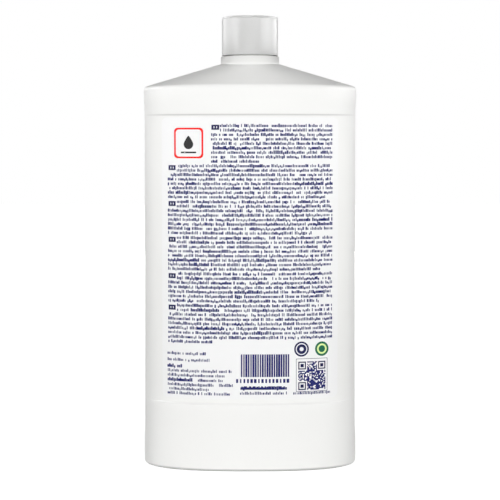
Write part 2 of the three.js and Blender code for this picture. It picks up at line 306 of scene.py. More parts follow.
@dataclass(frozen=True)
class PrintingInk:
    """A printing ink on film: even, thin, and a little duller than the film.

    Attributes:
        name: Name of the material.
        colour: Its colour as hex.
        thin: Its colour where the ink lies thinner, as hex.
        roughness: Its roughness.
        ior: Its refractive index.
        gloss: Specular level, low under the matt varnish.
        mottle: Size of the thinner spots, in metres.
    """

    name: str
    colour: str
    thin: str
    roughness: float = 0.5
    ior: float = 1.48
    gloss: float = 0.2
    mottle: float = 1.5 * MM

    def make(self) -> Material:
        """Builds the material and its nodes.

        Returns:
            The material.
        """
        material, tree, place = new_material(self.name)
        cover = noise(tree, place, self.mottle, 3.0)
        inputs = {
            "Base Color": mixed(tree, cover, linear(self.colour), linear(self.thin)),
            "Roughness": self.roughness,
            "IOR": self.ior,
            "Specular IOR Level": self.gloss,
        }
        surface(tree, inputs)
        return material


# Flexographic inks on film: flat colour, a touch uneven where the ink lies thin
NAVY_INK = PrintingInk("ink_navy", "#0B0E3E", "#12164C")
FINE_NAVY_INK = PrintingInk("ink_navy_fine", "#0C1358", "#121A66")
RED_INK = PrintingInk("ink_red", "#F01008", "#F21A10")
GREEN_INK = PrintingInk("ink_green", "#045A3C", "#0A6A48")
PALE_INK = PrintingInk("ink_pale_green", "#D8EE9C", "#DFF3AC")
BLACK_INK = PrintingInk("ink_black", "#141414", "#222222")
WHITE_INK = PrintingInk("ink_white", "#F4F4F6", "#EDEDF2")


@dataclass(frozen=True)
class Oval:
    """The bottle's oval section, and how it narrows with height.

    Attributes:
        half_width: Half the width at the floor.
        half_depth: Half the depth.
        height: Height over which the draft is given.
        draft: How much the half width shrinks over that height.
        power: Power of the superellipse.
        steps: Points round the oval.
    """

    half_width: float = 57.55 * MM
    half_depth: float = 28.3 * MM
    height: float = 203.2 * MM
    draft: float = 0.45 * MM
    power: float = 2.5
    steps: int = 240

    def angles(self) -> np.ndarray:
        """Angles of the points round the oval."""
        return np.arange(self.steps) / self.steps * FULL_TURN

    def ring(self, half_width: float, half_depth: float, power: float, z: float, dip: float = 0) -> Ring:
        """Makes one level ring of points, counter-clockwise seen from above.

        Args:
            half_width: Half the ring's width.
            half_depth: Half its depth.
            power: Power of its superellipse.
            z: Its height.
            dip: How much lower it lies at front and back.

        Returns:
            The points, one row each.
        """
        cos, sin = np.cos(self.angles()), np.sin(self.angles())
        for values in (cos, sin):
            values[np.abs(values) < 1e-12] = 0
        x = half_width * np.sign(cos) * np.abs(cos) ** (2 / power)
        y = half_depth * np.sign(sin) * np.abs(sin) ** (2 / power)
        return np.stack([x, y, z - dip * sin**2], axis=1)

    def circle(self, radius: float, z: float, dip: float = 0) -> Ring:
        """Makes a round ring of the given radius and height."""
        return self.ring(radius, radius, 2, z, dip)

    def body(self, z: float, inset: float = 0, front_inset: float = 0) -> Ring:
        """Makes the body's ring at one height, drawn in all round and further at front and back."""
        half_width = self.half_width - self.draft * z / self.height - inset
        return self.ring(half_width, self.half_depth - inset - front_inset, self.power, z)


def between(first: Ring, last: Ring, share: float) -> Ring:
    """Points part of the way from one ring to another."""
    return first + (last - first) * share


def smooth(share: Any) -> Any:
    """Eases shares from 0 to 1 with level ends."""
    share = np.clip(share, 0, 1)
    return share * share * (3 - 2 * share)


def arc(middle: Pair, size: float, start: float, end: float, steps: int) -> list[Pair]:
    """Makes points along an arc, from one angle to another in degrees."""
    turns = [math.radians(start + (end - start) * k / steps) for k in range(steps + 1)]
    return [(middle[0] + size * math.cos(t), middle[1] + size * math.sin(t)) for t in turns]


def rounded(before: Ring, corner: Ring, after: Ring, radius: float, steps: int) -> Rings:
    """Rounds the corner that three rings make, with arcs of one radius.

    Args:
        before: Ring before the corner.
        corner: Ring at the corner.
        after: Ring after it.
        radius: Radius of the arcs.
        steps: Steps along each arc.

    Returns:
        The rings along the arcs.
    """
    back, ahead = before - corner, after - corner
    back_length = np.linalg.norm(back, axis=1, keepdims=True)
    ahead_length = np.linalg.norm(ahead, axis=1, keepdims=True)
    back, ahead = back / back_length, ahead / ahead_length
    cosine = np.clip(np.sum(back * ahead, axis=1, keepdims=True), -1, 1)
    half = np.arccos(cosine) / 2
    reach = np.minimum(radius / np.tan(half), np.minimum(back_length, ahead_length) / 2)
    start, end = corner + back * reach, corner + ahead * reach
    rings = []
    for k in range(steps + 1):
        s = k / steps
        weights = ((1 - s) ** 2, 2 * s * (1 - s) * np.sin(half), s**2)
        total = weights[0] + weights[1] + weights[2]
        rings.append((start * weights[0] + corner * weights[1] + end * weights[2]) / total)
    return rings


def skin(rings: Rings, looped: bool = False) -> tuple[np.ndarray, list[Face]]:
    """Joins a row of rings into one closed skin.

    Args:
        rings: Rings with equally many points.
        looped: Whether the last ring joins the first. Otherwise fans close both ends.

    Returns:
        The points, and the corner numbers of each face.
    """
    count = len(rings[0])
    around = np.arange(count)
    after = (around + 1) % count
    points = [*rings]
    faces: list[Face] = []
    for r in range(len(rings) if looped else len(rings) - 1):
        low, high = r * count, (r + 1) % len(rings) * count
        faces.extend(zip(low + around, low + after, high + after, high + around))
    if not looped:
        points += [rings[0].mean(axis=0)[None], rings[-1].mean(axis=0)[None]]
        hub = len(rings) * count
        top = hub - count
        faces.extend((hub, b, a) for a, b in zip(around, after))
        faces.extend((hub + 1, top + a, top + b) for a, b in zip(around, after))
    return np.concatenate(points), faces


def linked(name: str, data: bpy.types.ID) -> Object:
    """Makes an object of its data and links it to the scene.

    Args:
        name: Name of the object.
        data: Its mesh, camera or light.

    Returns:
        The object.
    """
    made = bpy.data.objects.new(name, data)
    bpy.context.scene.collection.objects.link(made)
    return made


def solid(name: str, points: np.ndarray, faces: list[Face], finish: Material, crease: float) -> Object:
    """Makes an object from points and faces.

    Args:
        name: Name of the object.
        points: Corners in metres, one row each.
        faces: Corner numbers of each face, counter-clockwise seen from outside.
        finish: Its material.
        crease: Angle in degrees from which an edge stays sharp.

    Returns:
        The object, linked to the scene.
    """
    mesh = bpy.data.meshes.new(name)
    mesh.from_pydata(points.tolist(), [], [[int(i) for i in face] for face in faces])
    mesh.validate()
    mesh.shade_smooth()
    mesh.set_sharp_from_angle(angle=math.radians(crease))
    mesh.materials.append(finish)
    return linked(name, mesh)


@dataclass(frozen=True)
class ScrewThread:
    """A right-hand thread bead on a round wall.

    Attributes:
        height: How far the crest stands off the wall.
        root_width: Width of the bead at the wall.
        crest_width: Width of its crest.
        start: Height of its middle at angle zero.
        first: Angle where it begins.
        turns: How many turns it makes.
        pitch: Rise per turn.
        fade: Angle over which it fades in and out.
    """

    height: float
    root_width: float
    crest_width: float
    start: float
    first: float
    turns: float
    pitch: float = 4.23 * MM
    fade: float = math.pi / 6

    def relief(self, z: float, angles: np.ndarray) -> np.ndarray:
        """Works out how far the bead stands off the wall at one height.

        Args:
            z: Height on the wall.
            angles: Angles round the wall, from 0 to a full turn.

        Returns:
            The relief for each angle, in metres.
        """
        last = self.first + self.turns * FULL_TURN
        flank_width = (self.root_width - self.crest_width) / 2
        relief = np.zeros(len(angles))
        for turn in range(-1, 3):
            wound = angles + turn * FULL_TURN
            inside = (wound >= self.first) & (wound <= last)
            from_end = np.minimum(wound - self.first, last - wound)
            share = np.sin(np.clip(from_end / self.fade, 0, 1) * math.pi / 2)
            middle = self.start + self.pitch * wound / FULL_TURN
            flank = smooth((self.root_width / 2 - np.abs(z - middle)) / flank_width)
            relief = np.maximum(relief, np.where(inside, flank * share, 0) * self.height)
        return relief

    def rings(self, section: Oval, radius: float, heights: np.ndarray, outwards: int) -> Rings:
        """Makes the rings of a round wall that carries the thread.

        Args:
            section: Says how many points a ring has.
            radius: Radius of the wall.
            heights: Height of each ring.
            outwards: 1 where the thread stands outwards, and -1 inwards.

        Returns:
            The rings.
        """
        rings = [section.circle(1, z) for z in heights]
        for ring, z in zip(rings, heights):
            ring[:, :2] *= (radius + outwards * self.relief(z, section.angles()))[:, None]
        return rings


@dataclass
class Bottle:
    """The hollow blow-moulded shell: body, shoulder, collar and threaded neck.

    Attributes:
        oval: Section of the body.
        wall: Thickness of the wall.
        base_fillet: Radius between foot and side.
        foot_width: Width of the ring that it stands on.
        push_up: How far the floor inside the foot is pushed up.
        push_up_run: Run of the slope up to that floor.
        push_up_fillet: Radius of that slope's corners.
        floor_rings: Places of two rings on that floor, as shares of the way to its middle.
        recess: Heights where the side is drawn in: start and end below, start and end above.
        recess_depth: How far it is drawn in.
        panel: Heights of the label panel's ledges.
        panel_depth: How much deeper the panel lies at front and back.
        ledge: Height of each ledge.
        shoulder_fillet: Radius between side and shoulder.
        collar_radius: Radius of the collar.
        collar: Heights of the collar's foot and top.
        collar_dip: How much lower its foot lies at front and back.
        collar_fillet: Radius of its foot and of its upper edge.
        neck_radius: Radius of the neck between the threads.
        bore_radius: Radius of the neck's bore.
        lip: Height of the lip.
        lip_fillet: Radius of the lip's edges.
        thread: The neck's thread.
        thread_step: Distance between the rings of the thread.
    """

    oval: Oval = field(default_factory=Oval)
    wall: float = 1.2 * MM
    base_fillet: float = 1.6 * MM
    foot_width: float = 4.5 * MM
    push_up: float = 3.2 * MM
    push_up_run: float = 4 * MM
    push_up_fillet: float = 2 * MM
    floor_rings: Pair = (0.97, 0.75)
    recess: tuple[float, float, float, float] = (11 * MM, 24 * MM, 190 * MM, 197 * MM)
    recess_depth: float = 0.38 * MM
    panel: Pair = (36 * MM, 188.1 * MM)
    panel_depth: float = 0.45 * MM
    ledge: float = 0.5 * MM
    shoulder_fillet: float = 2.6 * MM
    collar_radius: float = 15.65 * MM
    collar: Pair = (215.6 * MM, 219.5 * MM)
    collar_dip: float = 0.9 * MM
    collar_fillet: float = 0.3 * MM
    neck_radius: float = 12.55 * MM
    bore_radius: float = 10.75 * MM
    lip: float = 237.4 * MM
    lip_fillet: float = 0.5 * MM
    thread: ScrewThread = ScrewThread(1.15 * MM, 2.4 * MM, 1 * MM, 228.355 * MM, 0.0, 1.5)
    thread_step: float = 0.22 * MM

    def side_ring(self, z: float, inset: float = 0) -> Ring:
        """Makes the side's ring at one height, with its recess and panel.

        Args:
            z: Height of the ring.
            inset: How far it lies inside the outer surface.

        Returns:
            The points, one row each.
        """
        low, low_end, high_start, high = self.recess
        drawn = smooth((z - low) / (low_end - low)) * (1 - smooth((z - high_start) / (high - high_start)))
        bottom, top = self.panel
        into = smooth((z - bottom) / self.ledge + 0.5) * (1 - smooth((z - top) / self.ledge + 0.5))
        return self.oval.body(z, inset + self.recess_depth * drawn, self.panel_depth * into)

    def side_heights(self) -> list[float]:
        """Sets the heights of the side's rings, closer together where it bends.

        Returns:
            The heights, from below upwards.
        """
        low, low_end, high_start, high = self.recess
        bottom, top = self.panel
        half = self.ledge / 2
        stretches = (
            (low_end, 12),
            (bottom - half, 4),
            (bottom + half, 8),
            (top - half, 36),
            (top + half, 8),
            (high_start, 1),
            (high, 10),
        )
        heights = [low]
        for end, steps in stretches:
            start = heights[-1]
            heights += [start + (end - start) * k / steps for k in range(1, steps + 1)]
        return heights

    def base(self, inset: float, lift: float, steps: int) -> Rings:
        """Makes the base's rings, from its middle out to the side.

        Args:
            inset: How far the side lies inside the outer surface.
            lift: How far the base lies above the floor.
            steps: Steps along the fillet up to the side.

        Returns:
            The rings.
        """
        foot = self.base_fillet + self.foot_width
        foot_outer = self.oval.body(lift, inset)
        foot_inner = self.oval.body(lift, foot)
        floor_edge = self.oval.body(lift + self.push_up, foot + self.push_up_run)
        centre = self.oval.circle(0, lift + self.push_up)
        side = self.oval.body(self.recess[0], inset)
        middle = between(floor_edge, centre, 0.5)
        return [
            *(between(floor_edge, centre, share) for share in self.floor_rings),
            *rounded(middle, floor_edge, foot_inner, self.push_up_fillet, steps=6),
            *rounded(floor_edge, foot_inner, foot_outer, self.push_up_fillet, steps=6),
            *rounded(foot_inner, foot_outer, side, self.base_fillet, steps),
            between(foot_outer, side, 0.5),
        ]

    def shoulder(self, side: Ring, corner: Ring, edge: Ring, fillet: float, steps: int) -> Rings:
        """Makes the straight shoulder from the oval corner up to a round edge.

        Args:
            side: Ring below the corner.
            corner: The oval corner.
            edge: The round edge above.
            fillet: Radius of the corner.
            steps: Steps along its arc.

        Returns:
            The rings, without the edge itself.
        """
        rings = rounded(side, corner, edge, fillet, steps)
        slope_steps = 20
        return rings + [between(rings[-1], edge, k / slope_steps) for k in range(1, slope_steps)]

    def collar_foot(self, radius: float) -> Ring:
        """Makes a round ring at the level of the collar's foot, lower at front and back."""
        return self.oval.circle(radius, self.collar[0], self.collar_dip)

    def collar_and_neck(self) -> Rings:
        """Makes the rings from the collar's foot over the lip down into the bore.

        Returns:
            The rings.
        """
        top = self.collar[1]
        edge = self.oval.circle(self.collar_radius, top)
        root = self.oval.circle(self.neck_radius, top)
        lip_outer = self.oval.circle(self.neck_radius, self.lip)
        lip_inner = self.oval.circle(self.bore_radius, self.lip)
        bore_bottom = self.collar_foot(self.bore_radius)
        step = self.thread_step
        heights = np.arange(top + step, self.lip - self.lip_fillet - step / 2, step)
        return [
            *rounded(self.collar_foot(self.collar_radius), edge, root, self.collar_fillet, steps=5),
            root,
            *self.thread.rings(self.oval, self.neck_radius, heights, 1),
            *rounded(root, lip_outer, lip_inner, self.lip_fillet, steps=5),
            *rounded(lip_outer, lip_inner, bore_bottom, self.lip_fillet, steps=5),
            between(lip_inner, bore_bottom, 0.5),
            bore_bottom,
        ]

    def inner_corner(self) -> Ring:
        """Makes the inner corner of the shoulder, a wall's thickness inside the outer one.

        Returns:
            Its ring.
        """
        outer = self.oval.body(self.oval.height)
        inner = self.oval.body(self.oval.height, self.wall)
        across = self.collar_foot(self.collar_radius) - outer
        slope = np.arctan2(across[:, 2], np.hypot(across[:, 0], across[:, 1]))
        inner[:, 2] = self.oval.height - self.wall * (1 / np.cos(slope) - np.tan(slope))
        return inner

    def build(self, finish: Material) -> Object:
        """Builds the shell, outside and inside, as one closed mesh.

        Args:
            finish: Its material.

        Returns:
            The shell.
        """
        side = [self.side_ring(z) for z in self.side_heights()]
        foot = self.collar_foot(self.collar_radius)
        corner = self.oval.body(self.oval.height)
        shoulder = self.shoulder(side[-1], corner, foot, self.shoulder_fillet, steps=12)
        collar_edge = self.oval.circle(self.collar_radius, self.collar[1])
        neck = self.collar_and_neck()
        bottom, top = self.panel
        half = self.ledge / 2
        inner_heights = (self.recess[0], bottom + half, top - half, self.recess[3])
        inner_side = [self.side_ring(z, self.wall) for z in inner_heights]
        inner_fillet = self.shoulder_fillet - self.wall
        inner_top, inner_corner = inner_side[-1], self.inner_corner()
        inner_shoulder = self.shoulder(inner_top, inner_corner, neck[-1], inner_fillet, steps=4)
        rings = [
            *self.base(inset=0, lift=0, steps=12),
            *side,
            *shoulder,
            *rounded(shoulder[-1], foot, collar_edge, self.collar_fillet, steps=3),
            *neck,
            *inner_shoulder[::-1],
            *inner_side[::-1],
            *self.base(inset=self.wall, lift=self.wall, steps=6)[::-1],
        ]
        shell = solid("bottle_shell", *skin(rings), finish, crease=50)
        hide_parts("bottle")
        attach(shell, "bottle")
        return shell


@dataclass
class ScrewCap:
    """The smooth-sided screw cap and the loose liner disc inside it.

    Attributes:
        section: Says how many points a ring has.
        radius: Outer radius.
        bore_radius: Radius inside.
        bottom: Height of its rim.
        ceiling: Height of the underside of its top.
        top: Height of its top.
        top_fillet: Radius of its upper edge.
        rim_fillet: Radius of its lower edge.
        side_ring: Height above its rim of one more ring on its plain side.
        band: Height of the band round its upper edge.
        band_lean: How far that band leans in.
        groove: Depth of the groove under that band.
        groove_shape: Depths and heights of the groove's points, as shares of its depth.
        gate: Radius and depth of the moulding point in the middle of its top.
        corner: Width and height of the slope between its ceiling and its bore.
        core: Size of the innermost ring of each flat face, as a share.
        liner_radius: Radius of the liner disc.
        liner: Heights of the liner's faces.
        liner_chamfer: Size of the liner's cut edges.
        thread: The cap's thread.
        thread_step: Distance between the rings of the thread.
        wall_ends: Distances from ceiling and rim where those rings begin and end.
    """

    section: Oval = field(default_factory=partial(Oval, steps=192))
    radius: float = 15.1 * MM
    bore_radius: float = 13.95 * MM
    bottom: float = 220 * MM
    ceiling: float = 239 * MM
    top: float = 240.6 * MM
    top_fillet: float = 0.25 * MM
    rim_fillet: float = 0.15 * MM
    side_ring: float = 8 * MM
    band: float = 1.2 * MM
    band_lean: float = 0.28 * MM
    groove: float = 0.15 * MM
    groove_shape: tuple[Pair, ...] = ((0, -2), (0, -1), (0.8, -0.3), (1, 0), (0.8, 0.3), (0, 1))
    gate: Pair = (1.7 * MM, 0.18 * MM)
    corner: Pair = (0.4 * MM, 0.3 * MM)
    core: float = 0.3
    liner_radius: float = 13.6 * MM
    liner: Pair = (237.7 * MM, 238.7 * MM)
    liner_chamfer: float = 0.2 * MM
    thread: ScrewThread = ScrewThread(1.05 * MM, 2 * MM, 0.8 * MM, 226.668 * MM, -math.pi / 3, 1.6)
    thread_step: float = 0.24 * MM
    wall_ends: Pair = (0.5 * MM, 0.25 * MM)

    def turned(self, profile: Sequence[Pair]) -> Rings:
        """Turns a profile of radii and heights into rings."""
        return [self.section.circle(radius, z) for radius, z in profile]

    def build_cap(self, finish: Material) -> Object:
        """Builds the cap, outside and inside, as one closed mesh.

        Args:
            finish: Its material.

        Returns:
            The cap.
        """
        edge, top, rim, fillet = self.radius, self.top, self.rim_fillet, self.top_fillet
        band_bottom = top - self.band
        gate_radius, gate_depth = self.gate
        outside = [
            (self.bore_radius, self.bottom),
            (edge - rim * 2, self.bottom),
            *arc((edge - rim, self.bottom + rim), rim, -90, 0, steps=5),
            (edge, self.bottom + self.side_ring),
            *((edge - self.groove * x, band_bottom + self.groove * z) for x, z in self.groove_shape),
            *arc((edge - self.band_lean - fillet, top - fillet), fillet, 15, 90, steps=6),
            (edge - self.band_lean * 4, top),
            (gate_radius + gate_depth, top),
            (gate_radius + gate_depth / 2, top - gate_depth * 0.3),
            (gate_radius, top - gate_depth),
            (gate_radius * self.core, top - gate_depth),
        ]
        ceiling = [
            (self.bore_radius * self.core, self.ceiling),
            (self.bore_radius - self.corner[0], self.ceiling),
            (self.bore_radius, self.ceiling - self.corner[1]),
        ]
        below_ceiling, above_rim = self.wall_ends
        heights = np.arange(self.ceiling - below_ceiling, self.bottom + above_rim, -self.thread_step)
        rings = [
            *self.turned(ceiling),
            *self.thread.rings(self.section, self.bore_radius, heights, -1),
            *self.turned(outside),
        ]
        cap = solid("cap_shell", *skin(rings), finish, crease=50)
        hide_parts("screw_cap")
        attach(cap, "cap")
        return cap

    def build_liner(self, finish: Material) -> Object:
        """Builds the liner disc.

        Args:
            finish: Its material.

        Returns:
            The disc.
        """
        low, high = self.liner
        cut, edge = self.liner_chamfer, self.liner_radius
        profile = [
            (edge * self.core, low),
            (edge - cut, low),
            *arc((edge - cut, low + cut), cut, -90, 0, steps=3),
            *arc((edge - cut, high - cut), cut, 0, 90, steps=3),
            (edge - cut * 2, high),
            (edge * self.core, high),
        ]
        disc = solid("liner_disc", *skin(self.turned(profile)), finish, crease=60)
        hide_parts("cap_liner")
        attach(disc, "seal")
        return disc


@dataclass(frozen=True)
class Panel:
    """The label panel's surface, on which the label and its print lie.

    Attributes:
        half_width: Half the width of its oval section.
        half_depth: Half the depth of it.
        power: Power of the superellipse.
        shortening: Share by which a sheet's width shrinks when it is bent, per cubic metre.
    """

    half_width: float = 56.93 * MM
    half_depth: float = 27.47 * MM
    power: float = 2.5
    shortening: float = 261.0

    def wrap(self, tree: Tree, shape: Socket) -> Socket:
        """Adds the nodes that bend a flat sheet onto the panel.

        The sheet lies in the XZ plane, with its outer side towards -Y.

        Args:
            tree: Geometry node tree.
            shape: Output with the flat geometry.

        Returns:
            Output with the bent geometry.
        """
        calc = partial(maths, tree)
        place = add_node(tree, "GeometryNodeInputPosition").outputs[0]
        split = add_node(tree, "ShaderNodeSeparateXYZ", {0: place}).outputs
        cube = calc("POWER", calc("ABSOLUTE", split["X"]), 3.0)
        across = calc("MULTIPLY", split["X"], calc("MULTIPLY_ADD", cube, -self.shortening, 1.0))
        half_width = calc("SUBTRACT", self.half_width, split["Y"])
        half_depth = calc("SUBTRACT", self.half_depth, split["Y"])
        ratio = calc("ABSOLUTE", calc("DIVIDE", across, half_width))
        left = calc("SUBTRACT", 1.0, calc("POWER", ratio, self.power))
        out = calc("MULTIPLY", calc("POWER", left, 1 / self.power), half_depth)
        bent = {"X": across, "Y": calc("MULTIPLY", out, -1.0), "Z": split["Z"]}
        position = add_node(tree, "ShaderNodeCombineXYZ", bent).outputs[0]
        moved = {"Geometry": shape, "Position": position}
        return add_node(tree, "GeometryNodeSetPosition", moved).outputs[0]


def with_tree(made: Object, tree: Tree, values: dict[str, Any]) -> Object:
    """Puts a geometry node tree on an object and turns its result into a plain mesh.

    Args:
        made: The object.
        tree: The geometry node tree.
        values: Value of each of the tree's inputs, by name.

    Returns:
        The object with its plain mesh.
    """
    modifier = made.modifiers.new("shape", "NODES")
    modifier.node_group = tree
    for item in tree.interface.items_tree:
        if item.in_out == "INPUT" and item.name in values:
            modifier[item.identifier] = values[item.name]
    depsgraph = bpy.context.evaluated_depsgraph_get()
    mesh = bpy.data.meshes.new_from_object(made.evaluated_get(depsgraph), depsgraph=depsgraph)
    made.modifiers.clear()
    flat = made.data
    made.data = mesh
    bpy.data.meshes.remove(flat)
    mesh.name = made.name
    return made


def new_tree(name: str, inputs: dict[str, str]) -> tuple[Tree, Any]:
    """Starts a geometry node tree.

    Args:
        name: Its name.
        inputs: Socket type of each input, by name, after the geometry itself.

    Returns:
        The tree and its inputs, by name.
    """
    tree = bpy.data.node_groups.new(name, "GeometryNodeTree")
    for label, kind in {"Geometry": "NodeSocketGeometry", **inputs}.items():
        tree.interface.new_socket(label, in_out="INPUT", socket_type=kind)
    tree.interface.new_socket("Geometry", in_out="OUTPUT", socket_type="NodeSocketGeometry")
    return tree, tree.nodes.new("NodeGroupInput").outputs


def end_tree(tree: Tree, shape: Socket, finish: Socket) -> None:
    """Ends a geometry node tree in Realize Instances and Set Material.

    Args:
        tree: The tree.
        shape: Output with the geometry.
        finish: Output with the material.
    """
    real = add_node(tree, "GeometryNodeRealizeInstances", {"Geometry": shape}).outputs[0]
    dressed = add_node(tree, "GeometryNodeSetMaterial", {"Geometry": real, "Material": finish})
    add_node(tree, "NodeGroupOutput", {"Geometry": dressed.outputs[0]})


@dataclass
class BackLabel:
    """The printed film label on the back panel.

    Attributes:
        panel: Surface that it lies on.
        half_width: Half its width, laid flat.
        ends: Heights of its lower and upper edge.
        corner: Radius of its corners.
        gap: Distance from the panel to its inner face.
        thickness: Its thickness.
        rows: Faces from its lower to its upper edge.
        columns: Faces across it, between its corners.
        corner_columns: Faces across each corner.
    """

    panel: Panel = field(default_factory=Panel)
    half_width: float = 47.87 * MM
    ends: Pair = (38.6 * MM, 186.7 * MM)
    corner: float = 3 * MM
    gap: float = 0.03 * MM
    thickness: float = 0.16 * MM
    rows: int = 12
    columns: int = 60
    corner_columns: int = 10

    @property
    def face(self) -> float:
        """Distance from the panel to its outer face."""
        return self.gap + self.thickness

    def wrapping(self) -> Tree:
        """Builds the tree that bends flat pieces onto the panel.

        Returns:
            The tree.
        """
        tree, take = new_tree("wrap_on_panel", {"finish": "NodeSocketMaterial"})
        end_tree(tree, self.panel.wrap(tree, take["Geometry"]), take["finish"])
        return tree

    def places(self) -> list[float]:
        """Sets the places of the label's upright columns of points.

        Returns:
            The places from left to right, laid flat.
        """
        steps = self.corner_columns
        turns = [k / steps * math.pi / 2 for k in range(steps + 1)]
        left = [self.corner * (1 - math.cos(turn)) - self.half_width for turn in turns]
        middle = [left[-1] * (1 - 2 * k / self.columns) for k in range(1, self.columns)]
        return [*left, *middle, *[-x for x in reversed(left)]]

    def column(self, x: float) -> Ring:
        """Makes one upright column of points: up along the inner face and down the outer one.

        Args:
            x: Place of the column, laid flat.

        Returns:
            The points, one row each.
        """
        into = max(0.0, abs(x) - (self.half_width - self.corner))
        cut = self.corner - math.sqrt(max(0.0, self.corner**2 - into**2))
        cut = min(cut, self.corner * 0.999)
        low, high = self.ends[0] + cut, self.ends[1] - cut
        up = [low + (high - low) * k / self.rows for k in range(self.rows + 1)]
        return np.array([(x, -self.gap, z) for z in up] + [(x, -self.face, z) for z in reversed(up)])

    def sheet(self, finish: Material) -> Object:
        """Builds the film as a thin closed sheet on the panel.

        Args:
            finish: Its material.

        Returns:
            The sheet.
        """
        film = solid("label_sheet", *skin([self.column(x) for x in self.places()]), finish, crease=40)
        with_tree(film, self.wrapping(), {"finish": finish})
        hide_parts("back_label")
        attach(film, "bottle")
        return film


def scaled(loop: Loop, share: float) -> Loop:
    """Makes a flat loop smaller about its middle."""
    return between(loop.mean(axis=0), loop, share)


def rounded_box(centre: Pair, width: float, height: float, corner: float) -> Loop:
    """Makes a flat upright box with rounded corners, with points at most 1 mm apart.

    Args:
        centre: Its middle, across and up, in millimetres.
        width: Its width.
        height: Its height.
        corner: Radius of its corners.

    Returns:
        Its points, counter-clockwise seen from outside.
    """
    right, up = width / 2 - corner, height / 2 - corner
    middles = ((right, -up), (right, up), (-right, up), (-right, -up))
    bends = [
        np.array(arc((centre[0] + x, centre[1] + z), corner, 90 * k - 90, 90 * k, steps=6))
        for k, (x, z) in enumerate(middles)
    ]
    points: list[np.ndarray] = []
    for bend, after in zip(bends, [*bends[1:], bends[0]]):
        last, ahead = bend[-1], after[0]
        steps = max(1, math.ceil(round(float(np.abs(ahead - last).max()), 6)))
        points += [*bend, *(between(last, ahead, k / steps) for k in range(1, steps))]
    return np.array(points)


def flat_disc(centre: Pair, radius: float) -> Loop:
    """Makes a flat disc, in millimetres."""
    return np.array(arc(centre, radius, 0, 360, steps=48)[:-1])


def drop(centre: Pair, radius: float) -> Loop:
    """Makes a plain drop with a point at its top, in millimetres.

    Args:
        centre: Its middle.
        radius: Radius of its round part.

    Returns:
        Its points.
    """
    sunk, taper, stretch = 0.6, 0.6, 0.9
    loop = flat_disc((0, -sunk), radius)
    rise = np.clip(loop[:, 1] / radius, 0, None)
    loop[:, 0] *= (1 - rise) ** taper
    loop[:, 1] += rise * radius * stretch
    return loop + centre


class Plates:
    """Thin flat plates of one ink, gathered into one mesh.

    Attributes:
        back: How far behind the label's face a plate begins.
        thin: How far the first print stands in front of that face.
        over: How far a print on top of another one does.
        core: Size of a filled plate's innermost strip, as a share.
    """

    back: float = 0.01 * MM
    thin: float = 0.02 * MM
    over: float = 0.04 * MM
    core: float = 0.15

    def __init__(self, face: float, proud: float) -> None:
        """Starts with no plates.

        Args:
            face: Distance from the panel to the label's face.
            proud: How far the plates stand in front of it.
        """
        self.depths = (self.back - face, -face - proud)
        self.points: list[np.ndarray] = []
        self.faces: list[Face] = []
        self.count = 0

    def add(self, outer: Loop, inner: Loop | None = None, layers: int = 1) -> None:
        """Adds a plate inside one loop, or between two loops.

        Args:
            outer: Outer edge, in millimetres.
            inner: Inner edge, with as many points, or None for a filled plate.
            layers: Strips between the edges.
        """
        hole = scaled(outer, self.core) if inner is None else inner
        loops = [between(hole, outer, k / layers) * MM for k in range(layers + 1)]
        rings = [
            np.stack([loop[:, 0], np.full(len(loop), y), loop[:, 1]], axis=1)
            for y, row in zip(self.depths, (loops, loops[::-1]))
            for loop in row
        ]
        points, faces = skin(rings, looped=inner is not None)
        self.points.append(points)
        self.faces += [tuple(self.count + i for i in face) for face in faces]
        self.count += len(points)

    def build(self, name: str, finish: Material, wrapping: Tree) -> Object:
        """Builds the gathered plates and bends them onto the panel."""
        made = solid(name, np.concatenate(self.points), self.faces, finish, crease=60)
        return with_tree(made, wrapping, {"finish": finish})


@dataclass(frozen=True)
class TextBlock:
    """A block of text lines, drawn as runs of small marks. Its sizes are in millimetres.

    Attributes:
        first: Height of its first line.
        pitch: Distance from line to line.
        lines: How many lines.
        indent: How far its first two lines are set in.
        last_right: Right end of its last line.
        bold: Runs of heavier marks: line, start and end as shares of the width.
        left: Left end of its lines, laid flat.
        right: Right end.
        space: Gap before and after a heavier run.
    """

    first: float
    pitch: float
    lines: int
    indent: float
    last_right: float
    bold: tuple[tuple[int, float, float], ...]
    left: float = -43.9
    right: float = 44.1
    space: float = 1.0

    def rows(self) -> tuple[list[Row], list[Row]]:
        """Splits the lines into plain and heavy runs.

        Returns:
            The plain runs and the heavy runs: left end, right end and height of each.
        """
        plain: list[Row] = []
        heavy: list[Row] = []
        width = self.right - self.left
        shortest = 1.5 * self.space
        for line in range(self.lines):
            x = self.left + (self.indent if line < 2 else 0.0)
            right = self.last_right if line == self.lines - 1 else self.right
            z = self.first - self.pitch * line
            for start, end in sorted((start, end) for at, start, end in self.bold if at == line):
                bold_left, bold_right = self.left + width * start, self.left + width * end
                if bold_left - x > shortest:
                    plain.append((x, bold_left - self.space, z))
                heavy.append((bold_left, bold_right, z))
                x = bold_right + self.space
            if right - x > shortest:
                plain.append((x, right, z))
        return plain, heavy


